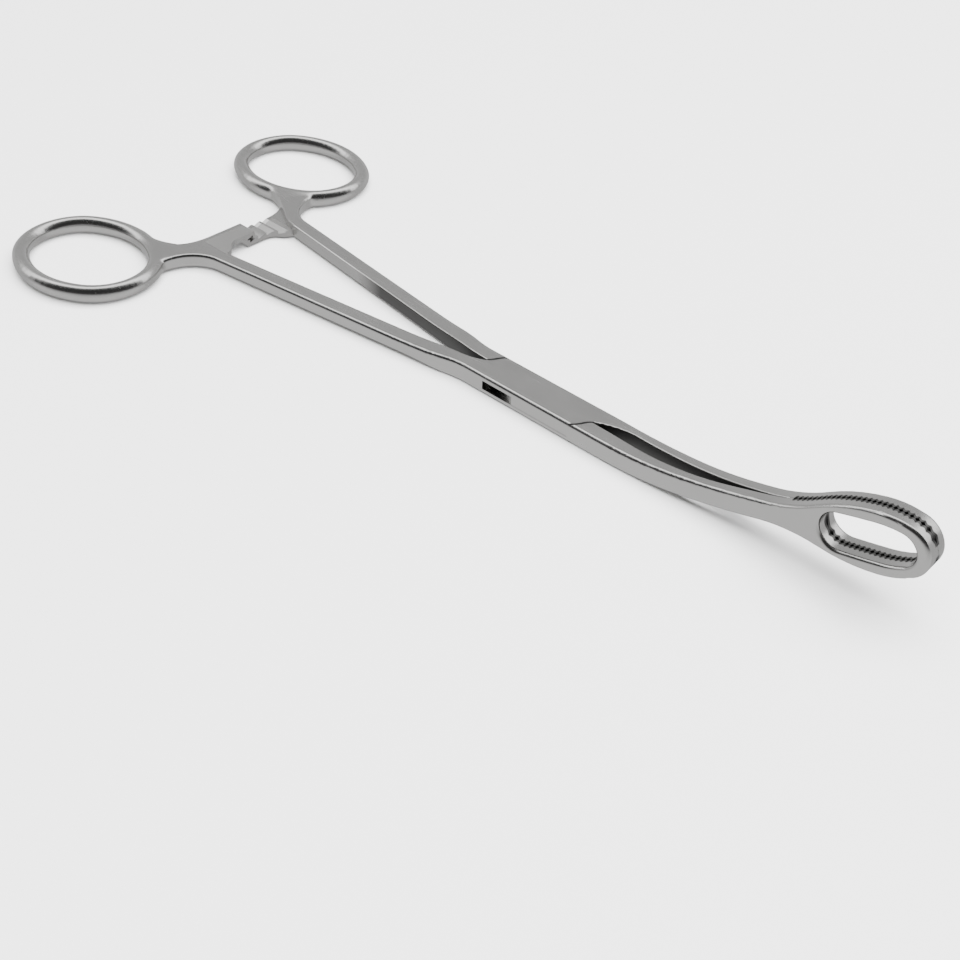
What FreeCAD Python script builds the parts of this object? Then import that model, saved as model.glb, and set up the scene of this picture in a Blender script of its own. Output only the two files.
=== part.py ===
import FreeCAD, Part
import Sketcher
import math
import os

from FreeCAD import Vector

# Sponge forceps, closed, lying flat. Origin on the pivot axis at the underside of the box,
# +X towards the jaws, +Y towards the rear finger ring, +Z up. Millimetres.
doc = FreeCAD.newDocument("sponge_forceps")
dims = doc.addObject("Spreadsheet::Sheet", "dims")

DRIVING_DIMENSIONS = {
    # Box lock
    "box_length": 25.6,
    "box_width": 10.2,
    "box_height": 5.0,
    "shoulder_length": 3.8,
    "shoulder_gap": 0.12,
    "shoulder_clear": 1.5,
    "plate_thickness": 1.35,
    "slot_clearance": 0.05,
    "slot_end_slant": 3.4,
    "inner_gap": 0.6,
    "pin_diameter": 3.4,
    "pin_clearance": 0.04,
    "pin_head_diameter": 4.8,
    "pin_head_depth": 0.6,
    # Proximal shank and neck
    "shank_width_at_box": 4.8,
    "shank_width": 4.2,
    "shank_height": 3.6,
    "shank_taper": 22.0,
    "neck_length": 7.6,
    "neck_width": 6.3,
    # Finger rings
    "ring_back": 122.5,
    "ring_side": 36.1,
    "ring_hole_length": 34.0,
    "ring_hole_width": 26.3,
    "ring_wire": 4.3,
    "web_height": 3.8,
    # Ratchet
    "ratchet_back": 102.0,
    "ratchet_side": 13.6,
    "bar_back": 104.3,
    "bar_width": 6.0,
    "bar_root_radius": 4.0,
    "bar_overlap": 1.2,
    "tooth_pitch": 2.8,
    "tooth_depth": 0.9,
    "tooth_gap": 0.16,
    "tooth_count": 4,
    # Distal shank
    "bend_start": 24.0,
    "bend_angle": 15.6,
    "shank_gap": 2.8,
    # Jaw
    "reach": 98.7,
    "jaw_length": 38.0,
    "jaw_root_length": 4.1,
    "jaw_width": 14.7,
    "jaw_widest": 11.5,
    "jaw_thickness": 3.3,
    "jaw_gap": 0.1,
    "window_length": 21.0,
    "window_width": 9.0,
    "tip_rim": 3.0,
    "groove_pitch": 1.12,
    "groove_depth": 0.45,
    "grooved_length": 32.0,
    # Rolled edges
    "outer_edge_radius": 0.9,
    "inner_edge_radius": 0.4,
}

for row, (alias, value) in enumerate(DRIVING_DIMENSIONS.items(), start=1):
    dims.set("A%d" % row, alias)
    dims.set("B%d" % row, str(value))
    dims.setAlias("B%d" % row, alias)
doc.recompute()


def size(alias):
    """The value of one driving dimension, read back from the sheet."""
    return float(dims.get(alias))


HEIGHT = size("box_height")
MID = HEIGHT / 2
HALF_BOX = size("box_length") / 2
HALF_WIDTH = size("box_width") / 2
FORWARD = Vector(1, 0, 0)
BACKWARD = Vector(-1, 0, 0)
LEFTWARD = Vector(0, 1, 0)


def line(a, b):
    return Part.LineSegment(a, b).toShape()


def arc(start, direction, end):
    """The arc that leaves start along a unit direction and reaches end, or a line if it is straight."""
    chord = end - start
    along = Vector(chord).normalize()
    aside = direction - along * direction.dot(along)
    if aside.Length < 1e-5:
        return line(start, end)
    bulge = aside * (chord.Length / 2 / (1 + direction.dot(along)))
    return Part.Arc(start, (start + end) / 2 + bulge, end).toShape()


def curve(points, start=None, end=None):
    """A smooth line through points in order, made of arcs, two between each pair of points.

    The directions at the points are those of the even spline through them, and the two arcs of a
    pair meet where both have run equally far towards each other, as a draughtsman joins two lines.
    """
    tangents = [start or FORWARD] + [FORWARD] * (len(points) - 2) + [end or FORWARD]
    flags = [start is not None] + [False] * (len(points) - 2) + [end is not None]
    spline = Part.BSplineCurve()
    spline.interpolate(Points=points, Tangents=tangents, TangentFlags=flags)
    directions = [Vector(spline.tangent(spline.parameter(p))[0]) for p in points]
    edges = []
    for a, b, leaving, arriving in zip(points, points[1:], directions, directions[1:]):
        span = b - a
        both = span.dot(leaving + arriving)
        spread = 2 * (1 - leaving.dot(arriving))
        if spread < 1e-9:
            reach = span.dot(span) / (2 * both)
        else:
            reach = (math.sqrt(both * both + spread * span.dot(span)) - both) / spread
        joint = (a + b + (leaving - arriving) * reach) / 2
        edges.append(arc(a, leaving, joint))
        edges.append(arc(b, arriving * -1, joint))
    return edges


def extruded(edges, direction):
    """The solid swept by a closed flat outline along a direction."""
    outline = Part.Wire(Part.__sortEdges__(edges))
    return Part.Face(outline).extrude(direction)


# Where the shank ends at the ratchet, and the line from there to the middle of the ring
RATCHET = Vector(-size("ratchet_back"), size("ratchet_side"), 0)
RING = Vector(-size("ring_back"), size("ring_side"), 0)
TO_RING = (RING - RATCHET).normalize()
NECK = RATCHET + TO_RING * size("neck_length")
NECK_SIDE = Vector(TO_RING.y, -TO_RING.x, 0)
RING_LONG = (size("ring_hole_length") + size("ring_wire")) / 2
RING_SHORT = (size("ring_hole_width") + size("ring_wire")) / 2
WEB_OUTER_ANGLE = math.radians(27)
WEB_INNER_ANGLE = math.radians(86)
WEB_DEPTH = size("ring_wire") / 4

# Both halves are drawn with the ring at +Y and the jaw at -Y, seen from above, and the box half
# is mirrored at the end. In the box half the shoulders lie across the middle line from its own
# shanks, in the tongue half beside them.
SHOULDER_SPAN = Vector(size("shoulder_length"), HALF_WIDTH - size("inner_gap"), 0)
SHOULDER_END = Vector(1, -0.6, 0)
# The points of the S, as shares of the span along the box and inwards
SHOULDER_SHAPE = [(0, 0), (0.46, 0.34), (0.7, 0.7), (1, 1)]


def turned(direction, end, edge):
    """A direction drawn for the jaw end and the +Y edge, turned to another end and edge."""
    return Vector(direction.x * end, direction.y * edge, 0)


def shoulder_line(end, edge, setback):
    """The S-shaped line where a plate of the box meets the other half's shank.

    end is -1 at the handle and 1 at the jaws; edge is the side of the box that it starts from.
    """
    def place(along, inwards):
        x = HALF_BOX + setback + SHOULDER_SPAN.x * along
        y = HALF_WIDTH - SHOULDER_SPAN.y * inwards
        return Vector(x * end, y * edge, 0)
    points = [place(along, inwards) for along, inwards in SHOULDER_SHAPE]
    return curve(points, None, turned(SHOULDER_END, end, edge))


BOX_REACH = HALF_BOX + SHOULDER_SPAN.x + size("shoulder_clear")
SHANK_START = Vector(-HALF_BOX - SHOULDER_SPAN.x, (HALF_WIDTH + size("inner_gap")) / 2, 0)
SHANK_AXIS = (RATCHET - SHANK_START).normalize()
SHANK_SIDE = Vector(SHANK_AXIS.y, -SHANK_AXIS.x, 0)
# The stretch over which the shank's edges are straight, as shares of its length from the box
STRAIGHT_FROM = 0.16
OUTER_STRAIGHT_TO = 0.8
INNER_STRAIGHT_TO = 0.93


def shank_point(fraction, offset):
    """A point beside the middle line of the proximal shank, from box to ratchet."""
    return SHANK_START + (RATCHET - SHANK_START) * fraction + SHANK_SIDE * offset


def shank_half_width(fraction):
    return (size("shank_width_at_box") * (1 - fraction) + size("shank_width") * fraction) / 2


def ring_point(angle, inwards=0):
    """A point at or inside the middle of the ring's wire; a quarter turn is nearest the pivot line."""
    along = RING_LONG - inwards
    across = RING_SHORT - inwards
    return RING + Vector(along * math.cos(angle), -across * math.sin(angle), 0)


def handle_outline(inner_start, leaving):
    """The outer and inner edges of shank and neck, and the ends of this stretch of the forging."""
    edges = []
    corner = Vector(inner_start.x, HALF_WIDTH, 0)
    straight_end = Vector(-BOX_REACH, HALF_WIDTH, 0)
    starts = (
        (1, straight_end, BACKWARD, OUTER_STRAIGHT_TO, WEB_OUTER_ANGLE),
        (-1, inner_start, leaving, INNER_STRAIGHT_TO, WEB_INNER_ANGLE),
    )
    for out, start, direction, bend_start, web_angle in starts:
        near = shank_point(STRAIGHT_FROM, out * shank_half_width(STRAIGHT_FROM))
        far = shank_point(bend_start, out * shank_half_width(bend_start))
        along = (far - near).normalize()
        bend = curve([far, NECK + NECK_SIDE * (out * size("neck_width") / 2), ring_point(web_angle)], along)
        edges.append([*curve([start, near], direction, along), line(near, far), *bend])
    angles = (WEB_OUTER_ANGLE, (WEB_INNER_ANGLE + WEB_OUTER_ANGLE) / 2, WEB_INNER_ANGLE)
    buried = [ring_point(angle, WEB_DEPTH) for angle in angles]
    ends = [
        line(ring_point(WEB_OUTER_ANGLE), buried[0]),
        Part.Arc(*buried).toShape(),
        line(buried[2], ring_point(WEB_INNER_ANGLE)),
        line(inner_start, corner),
    ]
    return [line(corner, straight_end), *edges[0]], edges[1], ends


BEND = math.radians(size("bend_angle"))
STRAIGHT = size("jaw_length") + size("jaw_root_length")
BEND_RADIUS = (size("reach") - size("bend_start") - STRAIGHT * math.cos(BEND)) / math.sin(BEND)
BEND_END = size("bend_start") + BEND_RADIUS * BEND
TIP = BEND_END + STRAIGHT


def spine(station, offset):
    """A point above (offset) the middle line of the jaw, at a length along it from the pivot."""
    turn = min(max(station - size("bend_start"), 0) / BEND_RADIUS, BEND)
    extra = max(station - BEND_END, 0)
    x = min(station, size("bend_start")) + BEND_RADIUS * math.sin(turn) + extra * math.cos(turn)
    z = MID + BEND_RADIUS * (1 - math.cos(turn)) + extra * math.sin(turn)
    return Vector(x - offset * math.sin(turn), 0, z + offset * math.cos(turn))


JAW_AXIS = Vector(math.cos(BEND), 0, math.sin(BEND))
JAW_UP = Vector(-math.sin(BEND), 0, math.cos(BEND))


def side_outline():
    """The outline of a half seen from the side, in the XZ plane, from web to tip."""
    web = size("web_height") / 2
    shank = size("shank_height") / 2
    # The neck thins to the web over the stretch round its narrowest place.
    web_x = -size("ratchet_back") - size("neck_length") * 1.3
    flat_x = -size("ratchet_back") - size("neck_length") * 0.7
    box_x = -BOX_REACH
    taper_x = box_x - size("shank_taper")
    end_x = -size("ring_back") - RING_LONG
    widest = TIP - size("jaw_widest")
    flank = TIP - size("jaw_length")
    edges = []
    for up in (1, -1):
        levels = [(end_x, web), (web_x, web), (flat_x, shank), (taper_x, shank), (box_x, MID),
                  (size("bend_start"), MID)]
        corners = [Vector(x, 0, MID + up * level) for x, level in levels]
        for a, b in zip(corners, corners[1:]):
            edges += [line(a, b)] if a.z == b.z else curve([a, b], FORWARD, FORWARD)
        edges.append(arc(corners[-1], FORWARD, spine(BEND_END, up * MID)))
        edges.append(line(spine(BEND_END, up * MID), spine(flank, up * MID)))
        shoulder = spine(widest, up * size("jaw_width") / 2)
        edges += curve([spine(flank, up * MID), shoulder], JAW_AXIS, JAW_AXIS)
        edges += curve([shoulder, spine(TIP, 0)], JAW_AXIS, JAW_UP * -up)
    edges.append(line(Vector(end_x, 0, MID + web), Vector(end_x, 0, MID - web)))
    return edges


JAW_START = size("reach") - size("grooved_length")
CLOSED = size("jaw_gap") / 2


def distal_outline(inner_start, leaving):
    """The outer and inner edges of the distal shank, and the ends of this stretch."""
    widest_gap = Vector((HALF_BOX + JAW_START) / 2, -size("shank_gap") / 2, 0)
    corner = Vector(inner_start.x, -HALF_WIDTH, 0)
    outer_end = Vector(JAW_START, -CLOSED - size("jaw_thickness"), 0)
    inner_end = Vector(JAW_START, -CLOSED, 0)
    straight_end = Vector(BOX_REACH, -HALF_WIDTH, 0)
    outer = [line(corner, straight_end), *curve([straight_end, outer_end], FORWARD, FORWARD)]
    inner = curve([inner_start, widest_gap, inner_end], leaving, FORWARD)
    return outer, inner, [line(outer_end, inner_end), line(corner, inner_start)]


def jaw_outline():
    """The outer face and inner face of the jaw, and lines before and past it."""
    end = size("reach") + size("jaw_thickness")
    corners = [Vector(x, y, 0) for x in (JAW_START, end) for y in (-CLOSED - size("jaw_thickness"), -CLOSED)]
    near_out, near_in, far_out, far_in = corners
    others = [line(near_in, far_in), line(near_out, near_in), line(far_out, far_in)]
    return [line(near_out, far_out)], [], others


def oval(centre, reaches):
    """A closed oval of arcs about a centre, given how far and which way it reaches, in order."""
    edges = []
    for a, b in zip(reaches, reaches[1:] + reaches[:1]):
        edges += curve([centre + a, centre + b], Vector(b).normalize(), Vector(a).normalize() * -1)
    return edges


def solid(name, shape):
    """One solid of the document, from a shape worked out from the sheet's values."""
    feature = doc.addObject("Part::Feature", name)
    feature.Shape = shape
    return feature


def lies_over(edge, guides):
    """Whether an edge of a blank follows one of the plan's lines."""
    middle = edge.valueAt((edge.FirstParameter + edge.LastParameter) / 2)
    point = Part.Vertex(Vector(middle.x, middle.y, 0))
    return any(point.distToShape(guide)[0] < 0.01 for guide in guides)


def is_upright(edge):
    start = edge.Vertexes[0].Point
    end = edge.Vertexes[-1].Point
    return Vector(start.x - end.x, start.y - end.y, 0).Length < 0.01 and abs(start.z - end.z) > 0.01


def blank(name, outline):
    """A forging before its edges are rolled: the plan's prism, cut to the side outline."""
    tallest = 2 * size("box_height") + size("jaw_width") + size("reach") * math.sin(BEND)
    across = 3 * (size("ring_side") + RING_SHORT)
    prism = extruded(outline, Vector(0, 0, 2 * tallest))
    prism.translate(Vector(0, 0, -tallest))
    slab = extruded(side_outline(), Vector(0, across, 0))
    slab.translate(Vector(0, -across / 2, 0))
    return solid(name + "_blank", prism.common(slab))


def rolled(name, base, outer_guides, inner_guides):
    """Roll over the long edges of a forging, more on its outer side than on its inner side."""
    doc.recompute()
    result = doc.addObject("Part::Fillet", name)
    result.Base = base
    radii = []
    for number, edge in enumerate(base.Shape.Edges, start=1):
        if is_upright(edge):
            continue
        if lies_over(edge, outer_guides):
            radii.append((number, size("outer_edge_radius"), size("outer_edge_radius")))
        elif lies_over(edge, inner_guides):
            radii.append((number, size("inner_edge_radius"), size("inner_edge_radius")))
    result.Edges = radii
    return result


def forged(name, outer, inner, ends):
    return rolled(name, blank(name, [*outer, *inner, *ends]), outer, inner)


def box_forgings():
    """The box half: proximal and distal shanks, and the full width box with its shoulders."""
    reach = -SHANK_START.x
    gap = size("inner_gap")
    leaving = turned(SHOULDER_END, -1, -1).normalize()
    outer, inner, ends = handle_outline(Vector(-reach, -gap, 0), leaving)
    handle = forged("box_handle", outer, inner, ends)
    outer, inner, ends = distal_outline(Vector(reach, gap, 0), leaving * -1)
    front = forged("box_distal", outer, inner, ends)
    sides = []
    ends = []
    for end in (-1, 1):
        flank = -HALF_WIDTH * end
        sides.append(line(Vector(-HALF_BOX * end, flank, 0), Vector(reach * end, flank, 0)))
        ends.append(line(Vector(reach * end, flank, 0), Vector(reach * end, gap * end, 0)))
        ends += shoulder_line(end, end, 0)
    return [handle, front, forged("box_plates", sides, [], ends)]


def tongue_forgings():
    """The thick ends of the tongue half: each a shank and the shoulder that it grows from."""
    setback = size("shoulder_gap")
    reach = -SHANK_START.x + setback
    forgings = []
    for name, end, outline in (("tongue_handle", -1, handle_outline), ("tongue_distal", 1, distal_outline)):
        inner_start = Vector(reach * end, size("inner_gap") * -end, 0)
        forgings.append(forged(name, *outline(inner_start, Vector(end, 0, 0))))
        flank = HALF_WIDTH * -end
        sides = [line(Vector((HALF_BOX + setback) * end, flank, 0), Vector(reach * end, flank, 0))]
        ends = [line(Vector(reach * end, flank, 0), inner_start), *shoulder_line(end, -end, setback)]
        forgings.append(forged(name + "_shoulder", sides, [], ends))
    return forgings


def ring(name):
    """The finger ring: a round wire bent round an oval."""
    lift = Vector(0, 0, MID)
    reaches = [FORWARD * RING_LONG, LEFTWARD * RING_SHORT]
    path = oval(RING + lift, reaches + [reach * -1 for reach in reaches])
    section = Part.Circle(ring_point(0) + lift, LEFTWARD, size("ring_wire") / 2)
    hoop = Part.Wire(path).makePipe(Part.Face(Part.Wire(section.toShape())))
    return solid(name, hoop)


def ratchet_bar(name, facing):
    """The ratchet bar: a tapered half-thickness bar with a broad root, with teeth on one face.

    facing is -1 for teeth that look down and 1 for teeth that look up.
    """
    back = -size("bar_back")
    end = -size("bar_overlap")
    half = size("bar_width") / 2
    knee = size("ratchet_side") - size("bar_root_radius")
    rear_root = NECK - NECK_SIDE * (size("neck_width") / 2) + TO_RING
    shank_edge = size("ratchet_side") - size("shank_width") / 2
    front_root = Vector(back + half + size("bar_root_radius"), shank_edge, 0)
    corners = [Vector(back + half, knee / 2, 0), Vector(back + half, end, 0), Vector(back - half, end, 0),
               Vector(back - half, knee, 0)]
    edges = [line(a, b) for a, b in zip(corners, corners[1:])]
    edges += curve([corners[-1], rear_root], LEFTWARD, TO_RING)
    edges += curve([corners[0], front_root], LEFTWARD, SHANK_SIDE)
    edges.append(line(rear_root, front_root))
    thickness = (size("shank_height") - size("tooth_gap")) / 2
    bar = extruded(edges, Vector(0, 0, thickness))
    bar.translate(Vector(0, 0, MID + size("tooth_gap") / 2))
    across = size("bar_width")
    land = size("tooth_pitch") / 4
    for index in range(int(size("tooth_count"))):
        low = end + land + index * size("tooth_pitch")
        high = low + size("tooth_pitch") - land
        floor = MID + size("tooth_gap") / 2
        corners = [
            Vector(back - across, low, floor - 1),
            Vector(back - across, high, floor - 1),
            Vector(back - across, high, floor),
            Vector(back - across, low, floor + size("tooth_depth")),
            Vector(back - across, low, floor - 1),
        ]
        notch = Part.Face(Part.makePolygon(corners)).extrude(Vector(2 * across, 0, 0))
        bar = bar.cut(notch)
    if facing > 0:
        bar = bar.mirror(Vector(0, 0, MID), Vector(0, 0, 1))
    return solid(name, bar)


def slot():
    """The slot through the box, open at both sides where the tongue enters and leaves."""
    far = 2 * size("box_width")
    wall = HALF_BOX
    slant = size("slot_end_slant")
    half = [
        Vector(-wall, far, 0),
        Vector(-wall, HALF_WIDTH, 0),
        Vector(-wall - slant, 0, 0),
        Vector(-far - wall, 0, 0),
    ]
    corners = half + [Vector(-p.x, -p.y, 0) for p in half]
    outline = Part.makePolygon(corners + corners[:1])
    opening = size("box_height") - 2 * size("plate_thickness")
    tool = Part.Face(outline).extrude(Vector(0, 0, opening))
    tool.translate(Vector(0, 0, size("plate_thickness")))
    return solid("slot", tool)


def tongue():
    """The thin middle of the tongue half, which crosses the box from edge to edge."""
    flush = HALF_WIDTH - size("slot_clearance")
    into = HALF_BOX + SHOULDER_SPAN.x + size("shoulder_gap")
    # It fills the opening up to the wall near the pivot, and clears the plates when it swings.
    half = [
        Vector(-into, size("inner_gap") + size("slot_clearance"), 0),
        Vector(-into, HALF_WIDTH * 0.8, 0),
        Vector(-HALF_BOX - size("shoulder_gap"), flush, 0),
        Vector(HALF_BOX * 0.3, flush, 0),
    ]
    corners = half + [Vector(-p.x, -p.y, 0) for p in half]
    outline = Part.makePolygon(corners + corners[:1])
    thickness = size("box_height") - 2 * size("plate_thickness") - 2 * size("slot_clearance")
    plate = Part.Face(outline).extrude(Vector(0, 0, thickness))
    plate.translate(Vector(0, 0, size("plate_thickness") + size("slot_clearance")))
    return solid("tongue_plate", plate)


def window(name):
    """The egg-shaped window through a jaw, rounder at the tip."""
    widest = TIP - size("jaw_widest")
    half = size("window_width") / 2
    tip_side = size("jaw_widest") - size("tip_rim")
    neck_side = size("window_length") - tip_side
    reaches = [JAW_AXIS * tip_side, JAW_UP * half, JAW_AXIS * -neck_side, JAW_UP * -half]
    depth = size("jaw_thickness") * 2
    tool = extruded(oval(spine(widest, 0), reaches), Vector(0, -depth, 0))
    tool.translate(Vector(0, depth / 4, 0))
    return solid(name, tool)


def comb(name):
    """The tool that leaves the jaw's inner face grooved across its length, from the tip back."""
    face = -size("jaw_gap") / 2
    land = size("groove_pitch") * 0.2
    count = int(size("grooved_length") / size("groove_pitch"))
    outline = [(TIP + 1, 1), (TIP + 1, face)]
    for index in range(count):
        start = TIP - land - index * size("groove_pitch")
        end = start - size("groove_pitch") + land
        outline += [(start, face), ((start + end) / 2, face - size("groove_depth")), (end, face)]
    outline += [(end, 1), (TIP + 1, 1)]
    corners = []
    for station, y in outline:
        point = spine(station, -size("jaw_width"))
        corners.append(Vector(point.x, y, point.z))
    tool = Part.Face(Part.makePolygon(corners)).extrude(JAW_UP * size("jaw_width") * 2)
    return solid(name, tool)


def bore(name, diameter):
    hole = doc.addObject("Part::Cylinder", name)
    hole.setExpression("Radius", diameter)
    hole.setExpression("Height", "dims.box_height * 2")
    hole.setExpression("Placement.Base.z", "-dims.box_height / 2")
    return hole


def fused(name, pieces):
    joined = doc.addObject("Part::MultiFuse", name)
    joined.Shapes = pieces
    joined.Refine = True
    return joined


def cut(name, base, tool):
    result = doc.addObject("Part::Cut", name)
    result.Base = base
    result.Tool = tool
    return result


def jaw(name):
    """The ring-shaped jaw: a plate with a window, rolled outer edges and a grooved inner face."""
    outer, inner, ends = jaw_outline()
    pierced = cut(name + "_pierced", blank(name, [*outer, *inner, *ends]), window(name + "_window"))
    return cut(name + "_grooved", rolled(name + "_rolled", pierced, outer, []), comb(name + "_comb"))


def build_box_half():
    pieces = [*box_forgings(), jaw("box_jaw"), ring("box_ring"), ratchet_bar("box_ratchet", -1)]
    drawn = cut("box_slotted", fused("box_joined", pieces), slot())
    other_hand = doc.addObject("Part::Mirroring", "box_turned")
    other_hand.Source = drawn
    other_hand.Normal = Vector(0, 1, 0)
    return other_hand


def build_tongue_half():
    pieces = [*tongue_forgings(), tongue(), jaw("tongue_jaw"), ring("tongue_ring")]
    return fused("tongue_joined", [*pieces, ratchet_bar("tongue_ratchet", 1)])


def build_pin():
    """The rivet: a plain shank with a countersunk head formed in each plate, ground flush."""
    body = doc.addObject("PartDesign::Body", "pivot_pin")
    plane = next(f for f in body.Origin.OriginFeatures if f.Role == "XZ_Plane")
    sketch = body.newObject("Sketcher::SketchObject", "pin_profile")
    sketch.AttachmentSupport = [(plane, "")]
    sketch.MapMode = "FlatFace"
    radius = size("pin_diameter") / 2
    head = size("pin_head_diameter") / 2
    depth = size("pin_head_depth")
    points = [(0, 0), (head, 0), (radius, depth), (radius, HEIGHT - depth), (head, HEIGHT), (0, HEIGHT)]
    expressions = [
        ("0", "0"),
        ("dims.pin_head_diameter / 2", "0"),
        ("dims.pin_diameter / 2", "dims.pin_head_depth"),
        ("dims.pin_diameter / 2", "dims.box_height - dims.pin_head_depth"),
        ("dims.pin_head_diameter / 2", "dims.box_height"),
        ("0", "dims.box_height"),
    ]
    count = len(points)
    for index, (a, b) in enumerate(zip(points, points[1:] + points[:1])):
        sketch.addGeometry(Part.LineSegment(Vector(*a, 0), Vector(*b, 0)), False)
    for index in range(count):
        sketch.addConstraint(Sketcher.Constraint("Coincident", index, 2, (index + 1) % count, 1))
    for index, (x, y) in enumerate(points):
        across = sketch.addConstraint(Sketcher.Constraint("DistanceX", -1, 1, index, 1, x))
        sketch.setExpression("Constraints[%d]" % across, expressions[index][0])
        upward = sketch.addConstraint(Sketcher.Constraint("DistanceY", -1, 1, index, 1, y))
        sketch.setExpression("Constraints[%d]" % upward, expressions[index][1])
    turned_pin = body.newObject("PartDesign::Revolution", "pin_turned")
    turned_pin.Profile = sketch
    turned_pin.ReferenceAxis = (sketch, ["V_Axis"])
    turned_pin.Angle = 360
    return body


pin = build_pin()
doc.recompute()
box_joined = build_box_half()
tongue_joined = build_tongue_half()
box_half = cut("box_half", box_joined, pin)
tongue_half = cut("tongue_half", tongue_joined, bore("pin_bore", "dims.pin_diameter / 2 + dims.pin_clearance"))
doc.recompute()

failed = [o.Name for o in doc.Objects if "Invalid" in o.State or "Error" in o.State]
if failed:
    raise RuntimeError("failed: " + ", ".join(failed))

os.makedirs("parts", exist_ok=True)
for part in (box_half, tongue_half, pin):
    shape = part.Shape
    if shape.isNull() or not shape.isValid() or len(shape.Solids) != 1:
        raise RuntimeError("bad shape: %s, %d solids" % (part.Label, len(shape.Solids)))
    shape.exportStep("parts/%s.step" % part.Label)
    print(part.Label, round(shape.Volume, 1), len(shape.Faces), "faces")
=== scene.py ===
import math

import bmesh
import bpy
import numpy as np
from mathutils import Matrix, Vector


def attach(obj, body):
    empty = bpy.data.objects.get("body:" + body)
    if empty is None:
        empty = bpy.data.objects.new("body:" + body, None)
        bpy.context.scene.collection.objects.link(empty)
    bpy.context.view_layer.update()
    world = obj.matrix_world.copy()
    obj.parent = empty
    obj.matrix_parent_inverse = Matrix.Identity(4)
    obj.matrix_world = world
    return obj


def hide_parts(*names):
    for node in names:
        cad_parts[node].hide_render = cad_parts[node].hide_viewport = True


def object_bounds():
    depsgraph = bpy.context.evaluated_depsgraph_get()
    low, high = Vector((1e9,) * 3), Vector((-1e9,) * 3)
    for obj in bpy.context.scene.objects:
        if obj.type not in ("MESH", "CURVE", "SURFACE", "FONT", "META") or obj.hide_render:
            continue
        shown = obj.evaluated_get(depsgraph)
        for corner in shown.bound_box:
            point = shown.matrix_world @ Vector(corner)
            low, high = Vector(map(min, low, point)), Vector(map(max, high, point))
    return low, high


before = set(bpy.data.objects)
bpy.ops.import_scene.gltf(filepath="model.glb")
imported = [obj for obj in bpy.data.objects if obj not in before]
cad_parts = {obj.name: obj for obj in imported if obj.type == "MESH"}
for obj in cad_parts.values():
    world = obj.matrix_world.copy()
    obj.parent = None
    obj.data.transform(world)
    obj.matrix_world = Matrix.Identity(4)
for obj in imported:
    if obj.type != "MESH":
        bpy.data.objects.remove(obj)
cad_low, cad_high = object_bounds()

# The camera looks down on the forceps from the side of the front finger ring, close by, with the
# jaws to the right. Lengths are in metres, and the focal length and the middle in pixels.
CAMERA_AZIMUTH = math.radians(38.73)
CAMERA_ELEVATION = math.radians(36.17)
CAMERA_ROLL = math.radians(3.852)
CAMERA_DISTANCE = 0.32386
AIM = Vector((0, 0, 0.0025))
PICTURE = 960
FOCAL_PIXELS = 1407.4
MIDDLE_PIXELS = (538.03, 398.78)

back = Vector((
    math.sin(CAMERA_AZIMUTH) * math.cos(CAMERA_ELEVATION),
    -math.cos(CAMERA_AZIMUTH) * math.cos(CAMERA_ELEVATION),
    math.sin(CAMERA_ELEVATION),
))
right = Vector((math.cos(CAMERA_AZIMUTH), math.sin(CAMERA_AZIMUTH), 0))
upward = back.cross(right)
rolled_right = right * math.cos(CAMERA_ROLL) + upward * math.sin(CAMERA_ROLL)
rolled_up = upward * math.cos(CAMERA_ROLL) - right * math.sin(CAMERA_ROLL)


def object_of(name, data):
    """A new object of the scene, unturned and at the origin."""
    added = bpy.data.objects.new(name, data)
    bpy.context.scene.collection.objects.link(added)
    return added


lens = bpy.data.cameras.new("camera")
lens.sensor_width = 36
lens.lens = lens.sensor_width * FOCAL_PIXELS / PICTURE
lens.shift_x = (PICTURE / 2 - MIDDLE_PIXELS[0]) / PICTURE
lens.shift_y = (MIDDLE_PIXELS[1] - PICTURE / 2) / PICTURE
lens.clip_start = 0.01
lens.clip_end = 20
camera = object_of("camera", lens)
turn = Matrix((rolled_right, rolled_up, back)).transposed()
camera.matrix_world = Matrix.Translation(AIM + back * CAMERA_DISTANCE) @ turn.to_4x4()
bpy.context.scene.camera = camera

# The box half: finger ring, shank, ratchet bar, box and jaw in one forging of stainless steel,
# ground and then brushed along its length, so that the fine lines run with the shank and the jaw.
MILLIMETRE = 0.001


class Shade:
    """A socket of a node tree that can be used in sums, products and comparisons."""

    def __init__(self, tree, socket):
        self.tree = tree
        self.socket = socket

    def node(self, kind, output=0, settings=None, **sockets):
        """Adds a node of a kind, with its settings and the values or links of its sockets.

        A socket is given by its name, or by an underscore and its number.
        """
        added = self.tree.nodes.new(kind)
        for name, value in (settings or {}).items():
            if name == "stops":
                ramp = added.color_ramp.elements
                while len(ramp) < len(value):
                    ramp.new(0.5)
                for element, (place, grey) in zip(ramp, value):
                    element.position = place
                    element.color = (grey, grey, grey, 1)
            else:
                setattr(added, name, value)
        for name, value in sockets.items():
            key = int(name[1:]) if name[0] == "_" else name.replace("_", " ")
            target = added.inputs[key]
            if isinstance(value, Shade):
                self.tree.links.new(value.socket, target)
            else:
                target.default_value = value
        return Shade(self.tree, added.outputs[output])

    def maths(self, operation, *values):
        sockets = {"_%d" % index: value for index, value in enumerate(values)}
        return self.node("ShaderNodeMath", settings={"operation": operation}, **sockets)

    def __add__(self, other):
        return self.maths("ADD", self, other)

    def __sub__(self, other):
        return self.maths("SUBTRACT", self, other)

    def __rsub__(self, other):
        return self.maths("SUBTRACT", other, self)

    def __mul__(self, other):
        return self.maths("MULTIPLY", self, other)

    def __truediv__(self, other):
        return self.maths("DIVIDE", self, other)

    def __gt__(self, other):
        return self.maths("GREATER_THAN", self, other)

    __radd__ = __add__
    __rmul__ = __mul__


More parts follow.
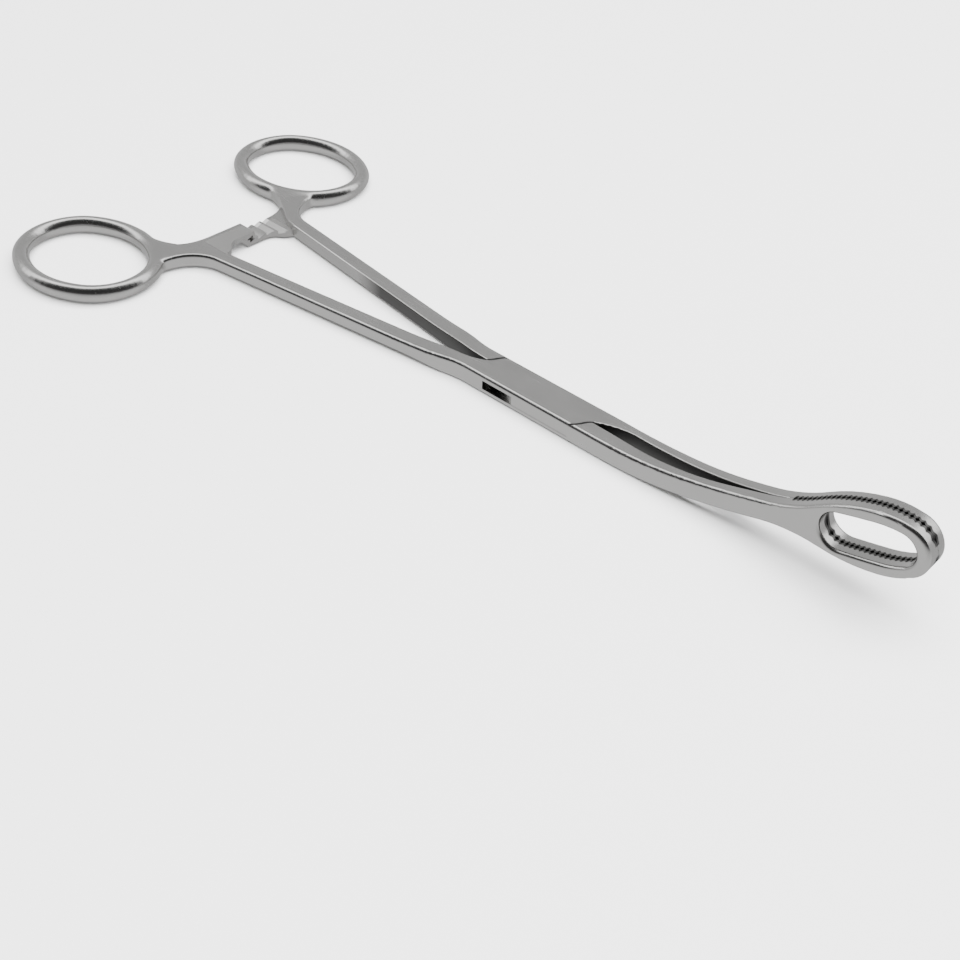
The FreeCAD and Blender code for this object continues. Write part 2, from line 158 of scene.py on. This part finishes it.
def place(tree, output="Object", scale=1 / MILLIMETRE):
    """The three values of a coordinate: the point on the piece in millimetres, unless told another."""
    start = Shade(tree, None)
    point = start.node("ShaderNodeTexCoord", output=output)
    scaled = start.node("ShaderNodeVectorMath", settings={"operation": "SCALE"}, _0=point, Scale=scale)
    split = tree.nodes.new("ShaderNodeSeparateXYZ")
    tree.links.new(scaled.socket, split.inputs[0])
    return [Shade(tree, split.outputs[axis]) for axis in range(3)]


# Places on the forceps that the steel's brush lines and its painted shade at the joints and in the
# grooves follow, in millimetres. The bend is an angle, and a groove's middle and half width are
# shares of the pitch.
SHOULDER_X = (16.6, 15.46, 14.55, 12.8)
SHOULDER_Y = (0.6, 1.95, 3.57, 5.1)
JOINT_WIDTH = 0.28
JOINT_SIDES = (0.45, 5.3)
JOINT_SLANT = 0.8
BEND = math.radians(15.6)
JAW_TIP = (98.7, 18.5)
GROOVE_PITCH = 1.12
GROOVES = 28
GROOVE_MIDDLE = 0.6
GROOVE_HALF = 0.4
GROOVED_WIDTH = 0.75
GROOVE_RISE = 0.4


# Painted shade along the joints of the box, where the narrow gap between the halves lies in shade.
def painted_joint_shade(x, y):
    """How near a point is to the two S-shaped joints of the box, from 0 to 1.

    The joint's distance from the pivot is a cubic in its distance from the middle line, and the
    slant turns a distance along the forceps into one across the joint. The line is full up to
    0.7 of the joint's width away and fades out at 1.7.
    """
    beside = y * x.maths("SIGN", x) * -1.0
    cubic = np.polyfit(SHOULDER_Y, SHOULDER_X, 3).tolist()
    line = ((beside * cubic[0] + cubic[1]) * beside + cubic[2]) * beside + cubic[3]
    distance = x.maths("ABSOLUTE", x.maths("ABSOLUTE", x) - line) * JOINT_SLANT
    within = (beside > JOINT_SIDES[0]) * (JOINT_SIDES[1] - beside > 0.0)
    return x.maths("MINIMUM", x.maths("MAXIMUM", 1.7 - distance / JOINT_WIDTH, 0.0), 1.0) * within


def groove_shade(x, y, z):
    """Painted shade: 1 in the grooves of the jaws' inner faces, 0.8 on the ridges between them, 0
    elsewhere.

    Along the jaw the grooves are a triangle wave from 0 to 1. The shade reaches from the middle
    line to the grooved width, and further by the rise times the wave.
    """
    run = ((JAW_TIP[0] - x) * math.cos(BEND) + (JAW_TIP[1] - z) * math.sin(BEND)) / GROOVE_PITCH
    off_middle = x.maths("ABSOLUTE", x.maths("FRACT", run) - GROOVE_MIDDLE)
    wave = x.maths("MAXIMUM", 1.0 - off_middle / GROOVE_HALF, 0.0)
    depth = wave * GROOVE_RISE + GROOVED_WIDTH - x.maths("ABSOLUTE", y)
    edge = x.maths("MINIMUM", x.maths("MAXIMUM", depth / 0.25 + 0.5, 0.0), 1.0)
    return edge * (wave * 0.2 + 0.8) * (run > 0.1) * (GROOVES - run > 0.0)


def painted_gap_shade(x, y, facing):
    """Painted shade: 0.85 on the walls that face the other half, which lie in the shade of the gap
    between the halves.

    It fades to 0 between 58 and 68 mm from the pivot, and facing is the y part of the normal.
    """
    inward = x.maths("MAXIMUM", y.maths("SIGN", y) * facing * -2.5 - 1.0, 0.0)
    nearness = x.maths("MAXIMUM", (68.0 - x.maths("ABSOLUTE", x)) / 10.0, 0.0)
    return x.maths("MINIMUM", inward, 1.0) * x.maths("MINIMUM", nearness, 1.0) * 0.85


# The lines follow the shanks, which spread by an eighth of their length behind the box, and the
# jaws, which rise along an arc and then a straight slope in front of it.
SPREAD = 0.126
ARC_START = 24.0
ARC_RUN = 34.0
ARC_DIAMETER = 254.0
SLOPE = 0.279
# The ratchet's teeth lie between these places, and are duller than the rest.
TEETH_X = (-106.0, -97.0)
TEETH_Y = 11.5


def steel(name, colour, smooth):
    """Brushed stainless steel; smooth is the roughness between the brush lines.

    Three noises vary it a little: brush lines that run along the forging, broad clouds, and specks.
    """
    material = bpy.data.materials.new(name)
    material.use_nodes = True
    tree = material.node_tree
    shader = tree.nodes["Principled BSDF"]
    x, y, z = place(tree)
    behind = x.maths("MAXIMUM", -SHOULDER_X[0] - x, 0.0)
    ahead = x.maths("MINIMUM", x.maths("MAXIMUM", x - ARC_START, 0.0), ARC_RUN)
    beyond = x.maths("MAXIMUM", x - (ARC_START + ARC_RUN), 0.0)
    across = x.maths("ABSOLUTE", y) - behind * SPREAD
    height = z - ahead * ahead / ARC_DIAMETER - beyond * SLOPE
    lines = x.node("ShaderNodeCombineXYZ", X=x * 0.06, Y=across * 1.5, Z=height * 1.5)
    grain = x.node("ShaderNodeTexNoise", Vector=lines, Scale=2.2, Detail=3.0, Roughness=0.55)
    cloud_place = x.node("ShaderNodeCombineXYZ", X=x * 0.05, Y=y * 0.11, Z=z * 0.11)
    cloud = x.node("ShaderNodeTexNoise", Vector=cloud_place, Scale=1.6, Detail=3.0, Roughness=0.5)
    whole_place = x.node("ShaderNodeCombineXYZ", X=x, Y=y, Z=z)
    speck = x.node("ShaderNodeTexNoise", Vector=whole_place, Scale=2.1, Detail=3.0, Roughness=0.6)
    facing = place(tree, "Normal", 1.0)
    on_top = x.maths("ABSOLUTE", facing[2]) > 0.7
    # Painted shade: the colour is darkened along the box's joints, in the jaws' grooves and on the
    # walls that face the other half.
    painted_shade = x.maths("MAXIMUM", painted_joint_shade(x, y) * on_top, groove_shade(x, y, z))
    painted_shade = x.maths("MAXIMUM", painted_shade, painted_gap_shade(x, y, facing[1]))
    teeth = (TEETH_X[1] - x > 0.0) * (x > TEETH_X[0]) * (TEETH_Y - x.maths("ABSOLUTE", y) > 0.0)
    roughness = smooth + (grain - 0.5) * 0.12 + (cloud - 0.5) * 0.10 + (speck - 0.5) * 0.05
    roughness = roughness + painted_shade * 0.25 + teeth * 0.2
    tree.links.new(roughness.socket, shader.inputs["Roughness"])
    tone = 1.0 + (cloud - 0.5) * 0.10 + (grain - 0.5) * 0.05
    tone = tone * (1.0 - painted_shade * 0.9) * (1.0 - teeth * 0.12)
    base = x.node(
        "ShaderNodeMix", output=2, settings={"data_type": "RGBA", "blend_type": "MULTIPLY"},
        _0=1.0, _6=(*colour, 1.0), _7=x.node("ShaderNodeCombineColor", _0=tone, _1=tone, _2=tone),
    )
    tree.links.new(base.socket, shader.inputs["Base Color"])
    bump = x.node("ShaderNodeBump", Strength=0.04, Distance=0.0002, Height=grain * 0.8 + speck * 0.2)
    tree.links.new(bump.socket, shader.inputs["Normal"])
    shader.inputs["Metallic"].default_value = 1.0
    return material


satin_steel = steel("satin_steel", (0.60, 0.595, 0.585), 0.24)


def merged(source):
    """A copy of a CAD node's triangles, joined at their corners."""
    shell = bmesh.new()
    shell.from_mesh(source.data)
    bmesh.ops.remove_doubles(shell, verts=shell.verts, dist=0.001 * MILLIMETRE)
    bmesh.ops.dissolve_degenerate(shell, edges=shell.edges, dist=0.0005 * MILLIMETRE)
    bmesh.ops.triangulate(shell, faces=[face for face in shell.faces if len(face.verts) > 3])
    return shell


def even_shading(mesh, crease=32, flat_area=1.5):
    """Gives each corner the normal of the flat face that it lies on or runs into.

    Where no flat face is near, it is the mean of the faces round the corner that turn by less
    than the crease angle, each weighted by its area. Flat faces then mirror like ground ones. A
    face is flat if its plane holds more than the flat area, in square millimetres.
    """
    count = len(mesh.polygons)
    normals = np.empty(count * 3, np.float32)
    mesh.polygons.foreach_get("normal", normals)
    normals = normals.reshape(-1, 3).astype(float)
    areas = np.empty(count, np.float32)
    mesh.polygons.foreach_get("area", areas)
    corners = np.empty(count * 3, np.int32)
    mesh.loops.foreach_get("vertex_index", corners)
    points = np.empty(len(mesh.vertices) * 3, np.float32)
    mesh.vertices.foreach_get("co", points)
    points = points.reshape(-1, 3).astype(float) / MILLIMETRE
    faces = np.repeat(np.arange(count), 3)
    offsets = (points[corners[::3]] * normals).sum(axis=1)
    planes = np.column_stack([np.round(normals, 3), np.round(offsets, 2)])
    plane_of = np.unique(planes, axis=0, return_inverse=True)[1].ravel()
    plane_area = np.bincount(plane_of, weights=areas)[plane_of] / MILLIMETRE**2
    plane_faces = np.bincount(plane_of)[plane_of]
    # A strip of a curved wall is flat too, but it has few triangles and is small.
    flat = (plane_area > flat_area) & ((plane_faces > 4) | (plane_area > 16 * flat_area))
    order = np.argsort(corners, kind="stable")
    meeting = np.bincount(corners, minlength=len(points))
    first = np.cumsum(meeting) - meeting
    repeats = meeting[corners]
    own = np.repeat(np.arange(len(corners)), repeats)
    step = np.arange(len(own)) - np.repeat(np.cumsum(repeats) - repeats, repeats)
    other = order[first[corners[own]] + step]
    own_face, other_face = faces[own], faces[other]
    alike = (normals[own_face] * normals[other_face]).sum(axis=1) > math.cos(math.radians(crease))
    weight = areas[other_face] / MILLIMETRE**2
    weight = (weight + np.where(flat[other_face], 1e4 * plane_area[other_face], 0)) * alike
    result = np.column_stack([
        np.bincount(own, weights=weight * normals[other_face, axis], minlength=len(corners))
        for axis in range(3)
    ])
    result /= np.linalg.norm(result, axis=1)[:, None] + 1e-12
    result = np.where(flat[faces][:, None], normals[faces], result)
    mesh.polygons.foreach_set("use_smooth", np.ones(count, dtype=bool))
    mesh.normals_split_custom_set(result.tolist())


def cut_off(shell, point, direction):
    """Removes what lies past a plane from a shell, and closes the cut."""
    everything = shell.verts[:] + shell.edges[:] + shell.faces[:]
    done = bmesh.ops.bisect_plane(
        shell, geom=everything, plane_co=point, plane_no=direction, dist=1e-7, clear_outer=True,
    )
    rim = [part for part in done["geom_cut"] if isinstance(part, bmesh.types.BMEdge)]
    bmesh.ops.contextual_create(shell, geom=rim)
    bmesh.ops.triangulate(shell, faces=[face for face in shell.faces if len(face.verts) > 3])


# How the blend of ring and neck is ground, in millimetres apart from the rounds
BLEND_ROUNDS = 60
BLEND_PUSH = 0.13
BURIED_PULL = 0.03


def relaxed(mesh, centre, reach, cut, direction):
    """Blends the crease round a place as grinding does.

    Each point moves towards the mean of its neighbours, over and over. Its share of the move is 1
    near the centre, falls to 0 over the outer third of the reach, and rises from 0 over 3 mm that
    start half a millimetre past the cut. The points that moved are then pushed out a little,
    because smoothing thins the metal, and the end that is buried in the shank is pulled in.
    """
    points = np.empty(len(mesh.vertices) * 3)
    mesh.vertices.foreach_get("co", points)
    points = points.reshape(-1, 3)
    edges = np.empty(len(mesh.edges) * 2, np.int32)
    mesh.edges.foreach_get("vertices", edges)
    edges = edges.reshape(-1, 2)
    near, far = edges[:, 0], edges[:, 1]
    joined = np.bincount(edges.ravel(), minlength=len(points))[:, None]
    past_cut = (points - np.array(cut)) @ np.array(direction)
    to_centre = np.linalg.norm(points - np.array(centre), axis=1)
    share = np.clip((reach - to_centre) / (0.35 * reach), 0, 1)
    share = share * np.clip((past_cut - 0.5 * MILLIMETRE) / (3 * MILLIMETRE), 0, 1)
    share = (share * share * (3 - 2 * share))[:, None]
    for count in range(BLEND_ROUNDS):
        total = np.zeros_like(points)
        for axis in range(3):
            total[:, axis] += np.bincount(near, weights=points[far, axis], minlength=len(points))
            total[:, axis] += np.bincount(far, weights=points[near, axis], minlength=len(points))
        # The first rounds even out the steps of the grid everywhere.
        amount = share if count > 2 else np.ones_like(share)
        points = points + amount * 0.6 * (total / joined - points)
    mesh.vertices.foreach_set("co", points.ravel())
    mesh.update()
    outward = np.empty(len(points) * 3)
    mesh.vertices.foreach_get("normal", outward)
    buried = np.clip(-past_cut / (0.2 * MILLIMETRE), 0, 1)[:, None]
    points += outward.reshape(-1, 3) * (share * BLEND_PUSH - buried * BURIED_PULL) * MILLIMETRE
    mesh.vertices.foreach_set("co", points.ravel())
    mesh.update()


# Where the blended ring piece takes over from the crisp shaft piece, in millimetres
RING_CENTRE = (-122.5, 36.1)
RATCHET_END = (-102.0, 13.6)
MIDDLE_HEIGHT = 2.5
NECK_CUT = 9.0
OVERLAP = 1.2
BLEND_PLACE = 16.0
BLEND_REACH = 14.0
GRID = 0.2


def forging(node, name, body, side):
    """One forged half: crisp shank, box and jaw, and a finger ring that grows out of the neck.

    side is -1 for the half whose ring lies in front and 1 for the one whose ring lies behind.
    """
    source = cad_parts[node]
    along, across = [RING_CENTRE[axis] - RATCHET_END[axis] for axis in range(2)]
    to_ring = Vector((along, across * side, 0)).normalized()
    shank_end = Vector((RATCHET_END[0], RATCHET_END[1] * side, MIDDLE_HEIGHT))
    neck = (shank_end + to_ring * NECK_CUT) * MILLIMETRE
    shaft = merged(source)
    cut_off(shaft, neck, to_ring)
    shaft_mesh = bpy.data.meshes.new(name)
    shaft.to_mesh(shaft_mesh)
    shaft.free()
    even_shading(shaft_mesh)
    hoop = merged(source)
    cut_off(hoop, neck - to_ring * OVERLAP * MILLIMETRE, -to_ring)
    hoop_mesh = bpy.data.meshes.new(name + "_ring")
    hoop.to_mesh(hoop_mesh)
    hoop.free()
    hoop_piece = object_of(name + "_ring", hoop_mesh)
    remesh = hoop_piece.modifiers.new("even_grid", "REMESH")
    remesh.mode = "VOXEL"
    remesh.voxel_size = GRID * MILLIMETRE
    graph = bpy.context.evaluated_depsgraph_get()
    dense = bpy.data.meshes.new_from_object(hoop_piece.evaluated_get(graph))
    hoop_piece.modifiers.clear()
    hoop_piece.data = dense
    bpy.data.meshes.remove(hoop_mesh)
    dense.name = name + "_ring"
    centre = (shank_end + to_ring * BLEND_PLACE) * MILLIMETRE
    relaxed(dense, centre, BLEND_REACH * MILLIMETRE, neck, to_ring)
    dense.polygons.foreach_set("use_smooth", np.ones(len(dense.polygons), dtype=bool))
    shaft_piece = object_of(name, shaft_mesh)
    for piece in (shaft_piece, hoop_piece):
        piece.data.materials.clear()
        piece.data.materials.append(satin_steel)
        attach(piece, body)
        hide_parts(node)


forging("box_half", "box_half_forging", "box_side", -1)

# The tongue half: the other forging, of the same steel and ground the same way. Its thin tongue
# passes through the box, where the rivet holds it.
forging("tongue_half", "tongue_half_forging", "tongue_side", 1)

# The rivet through the box lock. Stainless steel rod, hammered over in both plates and ground
# flush with them, so that only a faint ring shows.
pin_steel = steel("pin_steel", (0.59, 0.585, 0.575), 0.25)
rod = merged(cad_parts["pivot_pin"])
rivet_mesh = bpy.data.meshes.new("rivet")
rod.to_mesh(rivet_mesh)
rod.free()
even_shading(rivet_mesh, flat_area=0.5)
rivet_mesh.materials.append(pin_steel)
rivet = object_of("rivet", rivet_mesh)
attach(rivet, "box_side")
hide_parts("pivot_pin")

# The table: a plain pale sheet just under the forceps. Steel doesn't mirror it, so that the
# undersides of the rings and edges stay light.
sheet = bpy.data.meshes.new("table")
sheet.from_pydata([(-15, -15, 0), (15, -15, 0), (15, 15, 0), (-15, 15, 0)], [], [(0, 1, 2, 3)])
table = object_of("table", sheet)
table.location.z = cad_low.z - 0.02 * MILLIMETRE
table.visible_glossy = False
paper = bpy.data.materials.new("pale_paper")
paper.use_nodes = True
paper_shader = paper.node_tree.nodes["Principled BSDF"]
paper_shader.inputs["Base Color"].default_value = (0.86, 0.86, 0.86, 1)
paper_shader.inputs["Roughness"].default_value = 0.8
sheet.materials.append(paper)

# The light: one large white panel overhead, which faces the box lock and isn't mirrored.
PANEL_DISTANCE = 1.6
white_panel = bpy.data.lights.new("fill_panel", "AREA")
white_panel.shape = "RECTANGLE"
white_panel.size = 2.2
white_panel.size_y = 2.2
white_panel.energy = 175
lamp = object_of("fill_panel", white_panel)
toward_panel = Vector((0.2, 0.1, 1)).normalized()
lamp.location = toward_panel * PANEL_DISTANCE
lamp.rotation_mode = "QUATERNION"
lamp.rotation_quaternion = toward_panel.to_track_quat("Z", "Y")
lamp.visible_glossy = False

# The room round the table, from the far wall over the ceiling to the wall behind the camera: a
# grey wall, a long white panel overhead and an unlit ceiling, which steel shows as its streaks.
# A stop's place is the angle round the room: 0.5 is level and far, 0.75 is overhead, 1 is level
# and behind the camera, and 0.25 is underfoot.
far = Vector((-back.x, -back.y, 0)).normalized()
world = bpy.data.worlds.new("studio")
bpy.context.scene.world = world
world.use_nodes = True
room = world.node_tree
east, north, up = place(room, "Generated", 1.0)
away = east * far.x + north * far.y
turned = up.maths("ARCTAN2", up, away) / (2 * math.pi) + 0.5
walls = up.node(
    "ShaderNodeValToRGB", Fac=turned,
    settings={"stops": [
        (0.0, 0.22), (0.10, 0.30), (0.22, 0.30), (0.32, 0.20), (0.42, 0.22), (0.5, 0.24),
        (0.57, 0.18), (0.64, 0.165), (0.652, 0.85), (0.705, 0.85), (0.725, 0.07),
        (0.80, 0.012), (0.93, 0.016), (0.97, 0.12), (1.0, 0.22),
    ]},
)
# To the left and right, where the streaks would meet in a point, the room is plain grey.
aside = up.maths("MINIMUM", (up * up + away * away) / 0.12, 1.0)
light = walls * aside + (1.0 - aside) * 0.2
background = room.nodes["Background"]
room.links.new(light.socket, background.inputs["Color"])
background.inputs["Strength"].default_value = 3.0
